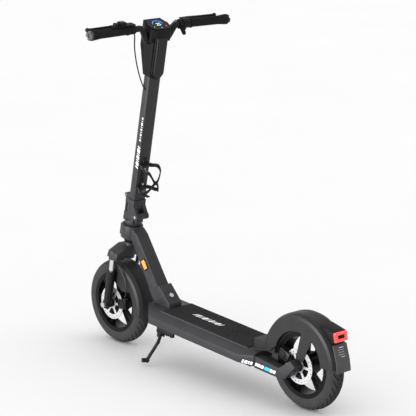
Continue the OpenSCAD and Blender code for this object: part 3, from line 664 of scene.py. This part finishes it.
class SCOOTER_OT_mat(bpy.types.Operator):
    """Lays the ribbed mat on the deck"""
    bl_idname = "scooter.mat"
    bl_label = "Deck mat"

    def execute(self, context):
        u0, u1, half, top = 0.213, 0.647, 0.069, 0.0062
        base = block((u1 - u0, 2 * half, 0.0034), ((u0 + u1) / 2, 0, 0.003 + 0.0017))
        bevel(base, 0.0012, 2)
        n = settings().mat_ribs
        pitch = (2 * half - 0.008) / n
        rib = block((u1 - u0 - 0.014, pitch * 0.55, 0.0012),
                    ((u0 + u1) / 2, -half + 0.004 + pitch / 2, top + 0.0002))
        bevel(rib, 0.0003, 1)
        arr = rib.modifiers.new("rows", "ARRAY")
        arr.count = n
        arr.use_relative_offset = False
        arr.use_constant_offset = True
        arr.constant_offset_displace = (0, pitch, 0)
        apply_modifiers(rib)
        bars = []
        for i in range(12):
            for k in (-1, 1):
                b = block((0.0035, 0.042, 0.0016), (0, k * 0.0205, 0))
                bevel(b, 0.0005, 1)
                spot = Matrix.Translation((0.232 + i * 0.014, 0, top + 0.0006))
                m = spot @ Matrix.Rotation(k * math.radians(30), 4, "Z")
                b.data.transform(m)
                bars.append(b)
        obj = join([base, rib] + bars)
        smooth(obj, 35)
        finish(obj, "deck_mat_finished", "frame", MATS["mat"], DECK)
        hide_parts("deck_mat")
        return {"FINISHED"}


def slanted_bars(lengths, width, gap, slant, thick):
    """A row of leaning printed bars along x, standing thick above z 0."""
    parts = []
    x = 0.0
    for n in lengths:
        b = block((n, width, thick), (x + n / 2, 0, 0))
        for v in b.data.vertices:
            v.co.x += v.co.y * slant
        parts.append(b)
        x += n + gap
    return join(parts)


class SCOOTER_OT_prints(bpy.types.Operator):
    """Prints the plain stripes on the mat, the rear arms and the stem; the grey strips along the mat's edges are
    painted highlight.
    """
    bl_idname = "scooter.prints"
    bl_label = "Printed stripes"

    def execute(self, context):
        film = 0.00024
        thin = [0.004, 0.012, 0.004, 0.009, 0.004, 0.014, 0.004, 0.010, 0.004]
        obj = slanted_bars(thin, 0.020, 0.0085, 0.5, film)
        finish(obj, "mat_print", "frame", MATS["ink"],
               DECK @ Matrix.Translation((0.414, 0, 0.0077)))
        outer = Matrix.Translation((0, 0.0801, -0.034)) @ Matrix.Rotation(-math.pi / 2, 4, "X")
        obj = slanted_bars([0.007, 0.003, 0.008], 0.011, 0.003, 0.4, film)
        finish(obj, "arm_print_rear", "frame", MATS["ink"],
               DECK @ Matrix.Translation((0.066, 0, 0)) @ outer)
        obj = slanted_bars([0.024], 0.012, 0.003, 0.4, film)
        finish(obj, "arm_print_blue", "frame", MATS["ink_blue"],
               DECK @ Matrix.Translation((0.092, 0, 0)) @ outer)
        obj = slanted_bars([0.010, 0.004, 0.008, 0.008], 0.011, 0.003, 0.4, film)
        finish(obj, "arm_print_front", "frame", MATS["ink"],
               DECK @ Matrix.Translation((0.121, 0, 0)) @ outer)
        taper = math.atan2(16, 60)
        flank = Matrix.Translation((0.165, 0.0841, -0.034)) @ Matrix.Rotation(taper, 4, "Z")
        obj = slanted_bars([0.008, 0.004, 0.010, 0.006], 0.011, 0.004, 0.4, film)
        finish(obj, "deck_print", "frame", MATS["ink"],
               DECK @ flank @ Matrix.Translation((0.004, 0.0001, 0))
               @ Matrix.Rotation(-math.pi / 2, 4, "X"))
        for name, along, width, start in (
            ("stem_print_large", [0.004, 0.011, 0.003, 0.009, 0.003, 0.012, 0.003], 0.013, 0.530),
            ("stem_print_small",
             [0.006, 0.002, 0.007, 0.002, 0.006, 0.002, 0.009, 0.002, 0.006], 0.006, 0.630),
        ):
            obj = slanted_bars(along, width, 0.0055, 0.35, film)
            up_side = Matrix(((0, 1, 0, -0.012), (0, 0, 1, 0.0251), (1, 0, 0, start), (0, 0, 0, 1)))
            finish(obj, name, "stem", MATS["ink"], STEER @ up_side)
        # The upper face of the hanging plate: x up along it, z out of it.
        hang = Matrix.Translation(AXLE["rear"]) @ Matrix(
            ((0.3026, 0, -0.9531, -0.1503), (0, 1, 0, -0.012), (0.9531, 0, 0.3026, 0.0758), (0, 0, 0, 1)))
        rows = []
        plate = (0.020, 0.0030), (0.026, 0.0012), (0.024, 0.0012), (0.026, 0.0012), (0.016, 0.0026)
        for k, (n, w) in enumerate(plate):
            rows.append(block((w, n, film), (0.016 - k * 0.0075, n / 2, 0.0001)))
        finish(join(rows), "plate_print", "frame", MATS["trim_pale"], hang)
        # Painted highlight: two pale grey strips along the mat's long edges stand for light catching its raised
        # lip.
        edges = []
        for y in (-0.0695, 0.0695):
            edges.append(block((0.440, 0.0010, 0.0009), (0.430, y, 0.0033)))
        obj = join(edges)
        finish(obj, "mat_trim", "frame", MATS["trim"], DECK)
        return {"FINISHED"}


def figure(text, size, place, mat, name):
    clear()
    bpy.ops.object.text_add()
    t = bpy.context.object
    t.data.body = text
    t.data.size = size
    t.data.align_x = "CENTER"
    t.data.align_y = "CENTER"
    t.data.extrude = 0.0001
    bpy.ops.object.convert(target="MESH")
    obj = bpy.context.object
    outward(obj)
    return finish(obj, name, "stem", mat, place)


class SCOOTER_OT_display(bpy.types.Operator):
    """Lights the figures and marks on the display"""
    bl_idname = "scooter.display"
    bl_label = "Display figures"

    def execute(self, context):
        glass_s = bar_level() + GLASS_RISE
        tilt = Matrix.Rotation(math.radians(-16), 4, "Y")
        face = STEER @ Matrix.Translation((-0.038, 0, glass_s)) @ tilt
        face = face @ Matrix.Rotation(-math.pi / 2, 4, "Z") @ Matrix.Translation((0, 0.035, 0.00262))
        figure("25", 0.020, face, MATS["lit_white"], "display_speed")
        clear()
        bpy.ops.mesh.primitive_torus_add(
            major_radius=0.022, minor_radius=0.0010, major_segments=64, minor_segments=8)
        arc = bpy.context.object
        edit(arc)
        pick_faces(arc, lambda c, n: c.y < 0.004)
        bpy.ops.mesh.delete(type="FACE")
        bpy.ops.mesh.select_mode(type="EDGE")
        bpy.ops.mesh.select_all(action="DESELECT")
        bpy.ops.mesh.select_non_manifold()
        bpy.ops.mesh.edge_face_add()
        done()
        arc.data.transform(Matrix.Scale(0.35, 4, (0, 0, 1)))
        smooth(arc)
        finish(arc, "display_arc", "stem", MATS["lit_blue"], face)
        lamps = (-0.026, -0.012, "lit_green"), (0.026, -0.012, "lit_red"), (0.0, -0.021, "lit_blue")
        for i, (x, y, m) in enumerate(lamps):
            dot = turned([(-0.0002, 0.0022), (0.0001, 0.0024), (0.0003, 0.0018)], 20)
            finish(dot, "display_mark_%d" % i, "stem", MATS[m],
                   face @ Matrix.Translation((x, y, 0)))
        return {"FINISHED"}


def hose(name, points, radius, body, frame_m):
    """A round cable drawn along its route."""
    clear()
    bpy.ops.curve.primitive_nurbs_path_add()
    obj = bpy.context.object
    obj.location = (0, 0, 0)
    obj.data.splines.clear()
    sp = obj.data.splines.new("NURBS")
    sp.points.add(len(points) - 1)
    for p, q in zip(sp.points, points):
        p.co = (*(frame_m @ (Vector(q) * MM)), 1)
    sp.use_endpoint_u = True
    sp.order_u = 3
    obj.data.dimensions = "3D"
    obj.data.bevel_depth = radius
    obj.data.bevel_resolution = 4
    obj.data.resolution_u = 10
    obj.data.use_fill_caps = True
    bpy.ops.object.convert(target="MESH")
    obj = bpy.context.object
    smooth(obj, 50)
    finish(obj, name, body, MATS["hose"])
    return obj


class SCOOTER_OT_stage(bpy.types.Operator):
    """Sets the pale floor, the soft lights and the camera"""
    bl_idname = "scooter.stage"
    bl_label = "Floor, lights and camera"

    def execute(self, context):
        clear()
        scene = context.scene
        bpy.ops.mesh.primitive_plane_add(size=60, location=(8, -8, -0.0005))
        floor = context.object
        floor.name = "floor"
        s = Nodes("pale_floor")
        shade = s.ramp(s.noise(1.5, 3), [(0.3, (0.975, 0.975, 0.975)), (0.7, (0.99, 0.99, 0.99))])
        s.link(shade, s.bsdf.inputs["Base Color"])
        s.bsdf.inputs["Roughness"].default_value = 0.9
        s.bsdf.inputs["Specular IOR Level"].default_value = 0.0
        floor.data.materials.append(s.mat)
        floor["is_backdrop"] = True

        world = bpy.data.worlds.new("studio")
        scene.world = world
        world.use_nodes = True
        world.node_tree.nodes["Background"].inputs[0].default_value = (1, 1, 1, 1)
        world.node_tree.nodes["Background"].inputs[1].default_value = 1.0

        lit = bpy.data.collections.new("lit_by_key")
        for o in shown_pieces():
            lit.objects.link(o)
        for name, place, size, power in (
            ("key", (0.4, 4.2, 1.1), 2.2, 380),
            ("rear_fill", (-4.0, -1.0, 1.6), 1.6, 12),
        ):
            light = bpy.data.lights.new(name, "AREA")
            light.size = size
            light.energy = power
            o = bpy.data.objects.new(name, light)
            scene.collection.objects.link(o)
            o.location = place
            o.rotation_euler = (Vector((0, 0, 0.5)) - Vector(place)).to_track_quat("-Z", "Y").to_euler()
            o.light_linking.receiver_collection = lit

        cam = bpy.data.cameras.new("view")
        eye = bpy.data.objects.new("view", cam)
        scene.collection.objects.link(eye)
        ahead = Vector((0.72080, -0.65081, -0.23851)).normalized()
        right = Vector((-0.67002, -0.74234, 0.00072)).normalized()
        up = right.cross(ahead)
        m = Matrix((right, up, -ahead)).transposed().to_4x4()
        m.translation = Vector((-4.37093, 3.95599, 2.03404))
        eye.matrix_world = m
        cam.sensor_width = 36
        cam.lens = 36 * 1798.2 / 416
        cam.clip_end = 200
        scene.camera = eye
        scene.view_settings.view_transform = "Standard"
        return {"FINISHED"}


class SCOOTER_OT_panel(bpy.types.Operator):
    """Shapes the long rounded cover on the rear of the stem's head"""
    bl_idname = "scooter.panel"
    bl_label = "Head cover"

    def execute(self, context):
        low, high = PANEL_LOW, PANEL_HIGH
        parts = []
        # A dark backing piece stands behind the raised cover and shows as a groove round it; its near-black
        # paint is painted shade for that groove.
        layers = (0.0268, -0.0240, -0.0335, -0.0080), (0.0222, -0.0268, -0.0385, -0.0030)
        for half, front, rear, drop in layers:
            clear()
            bpy.ops.mesh.primitive_circle_add(vertices=64, radius=half, fill_type="NGON")
            obj = bpy.context.object
            bottom = low + 0.002 + drop
            for v in obj.data.vertices:
                if v.co.y > 1e-6:
                    v.co.y = high - bottom - half
                    v.co.x = math.copysign(half, v.co.x) if abs(v.co.x) > half * 0.6 else v.co.x
            edit(obj)
            bpy.ops.mesh.select_all(action="SELECT")
            bpy.ops.mesh.extrude_region_move(TRANSFORM_OT_translate={"value": (0, 0, front - rear)})
            done()
            outward(obj)
            bevel(obj, 0.0022, 3, 50)
            # Local x runs across, y up the steering axis and z forwards.
            obj.data.transform(
                Matrix(((0, 0, 1, rear), (1, 0, 0, 0), (0, 1, 0, bottom + half), (0, 0, 0, 1))))
            smooth(obj, 30)
            parts.append(obj)
        groove_shade_piece, cover = parts
        # The backing piece's near-black rim paint is painted shade in the groove round the cover.
        finish(groove_shade_piece, "head_groove_shade", "stem", MATS["rim"], STEER)
        finish(cover, "head_cover", "stem", MATS["fender"], STEER)
        for obj in (groove_shade_piece, cover):
            outward(obj)
        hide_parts("head_panel")
        return {"FINISHED"}


def strand(points, width, thick, segments=40):
    """A flat band that follows a smooth route about the bottle's axis."""
    pts = []
    for i in range(segments + 1):
        f = i / segments * (len(points) - 1)
        k = min(int(f), len(points) - 2)
        t = f - k
        t = t * t * (3 - 2 * t)
        a, b = points[k], points[k + 1]
        pts.append((a[0] + (b[0] - a[0]) * (f - k), a[1] + (b[1] - a[1]) * t))
    clear()
    bpy.ops.mesh.primitive_grid_add(x_subdivisions=segments, y_subdivisions=3, size=2)
    obj = bpy.context.object
    for v in obj.data.vertices:
        i = int(round((v.co.x + 1) / 2 * segments))
        ang, s = pts[i]
        z = s + v.co.y * width / 2
        turn = math.radians(ang)
        v.co = (CAGE_AXIS_T + CAGE_R * math.cos(turn), CAGE_R * math.sin(turn), z)
    m = obj.modifiers.new("wall", "SOLIDIFY")
    m.thickness = thick
    m.offset = 0
    apply_modifiers(obj)
    outward(obj)
    bevel(obj, 0.0009, 2, 50)
    return obj


class SCOOTER_OT_cage(bpy.types.Operator):
    """Weaves the bottle cage from its back plate, hoops and crossing arms"""
    bl_idname = "scooter.cage"
    bl_label = "Bottle cage"

    def execute(self, context):
        parts = []
        for side in (-1, 1):
            for ends in ((0.042, 0.046, 0.036), (-0.040, -0.042, -0.036)):
                turns = zip((34, 80, 125, 180), (*ends, 0.0))
                parts.append(strand([(side * a, z) for a, z in turns], 0.0135, 0.0042))
        plate = block((0.004, 0.017, 0.134), (-0.0233, 0, 0.001))
        top = block((0.010, 0.052, 0.013), (-0.0290, 0, 0.043))
        low = block((0.010, 0.052, 0.013), (-0.0290, 0, -0.041))
        shelf = block((0.040, 0.014, 0.005), (-0.0448, 0, -0.0635))
        for b, w in ((plate, 0.001), (top, 0.002), (low, 0.002), (shelf, 0.0015)):
            bevel(b, w, 2)
        obj = join(parts + [plate, top, low, shelf])
        smooth(obj, 35)
        place = STEER @ Matrix.Translation((0, 0, CAGE_S))
        finish(obj, "bottle_cage_finished", "stem", MATS["cage"], place)
        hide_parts("bottle_cage")
        return {"FINISHED"}


class SCOOTER_OT_hoses(bpy.types.Operator):
    """Draws the brake cables and the motor lead along their routes"""
    bl_idname = "scooter.hoses"
    bl_label = "Cables"

    def execute(self, context):
        b = bar_level() / MM
        left = [(20, 113.7, b + 49.2), (19, 92, b + 42), (24, 76, b + 22),
                (33, 62, b - 40), (22, 46, b - 110), (4, 33, b - 160), (-8, 27.6, b - 178)]
        right = [(34, -113.7, b + 49.2), (44, -88, b + 20), (54, -60, b - 20), (50, -37, b - 40)]
        long = hose("bar_cable_long", left, BAR_CABLE_R, "stem", STEER)
        short = hose("bar_cable_short", right, BAR_CABLE_R, "stem", STEER)
        obj = join([long, short])
        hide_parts("stem_cables")
        return {"FINISHED"}


CLASSES = [
    ScooterPaint, SCOOTER_OT_finishes, SCOOTER_OT_castings, SCOOTER_OT_tyres, SCOOTER_OT_grips, SCOOTER_OT_mat,
    SCOOTER_OT_prints, SCOOTER_OT_display, SCOOTER_OT_panel, SCOOTER_OT_cage,
    SCOOTER_OT_hoses, SCOOTER_OT_stage]
ORDER = ["finishes", "castings", "tyres", "grips", "mat", "prints", "display", "panel", "cage", "hoses", "stage"]


class SCOOTER_PT_parts(bpy.types.Panel):
    """Lists the steps that build the scooter"""
    bl_idname = "SCOOTER_PT_parts"
    bl_label = "Folding kick scooter"
    bl_space_type = "VIEW_3D"
    bl_region_type = "UI"
    bl_category = "Scooter"

    def draw(self, context):
        group = context.scene.scooter_paint
        for key in group.bl_rna.properties.keys():
            if key not in ("rna_type", "name"):
                self.layout.prop(group, key)
        for step in ORDER:
            self.layout.operator("scooter." + step)


def register():
    for c in CLASSES + [SCOOTER_PT_parts]:
        bpy.utils.register_class(c)
    bpy.types.Scene.scooter_paint = PointerProperty(type=ScooterPaint)


def unregister():
    del bpy.types.Scene.scooter_paint
    for c in reversed(CLASSES + [SCOOTER_PT_parts]):
        bpy.utils.unregister_class(c)


def main():
    register()
    for step in ORDER:
        getattr(bpy.ops.scooter, step)()
    clear()


if __name__ == "__main__":
    main()
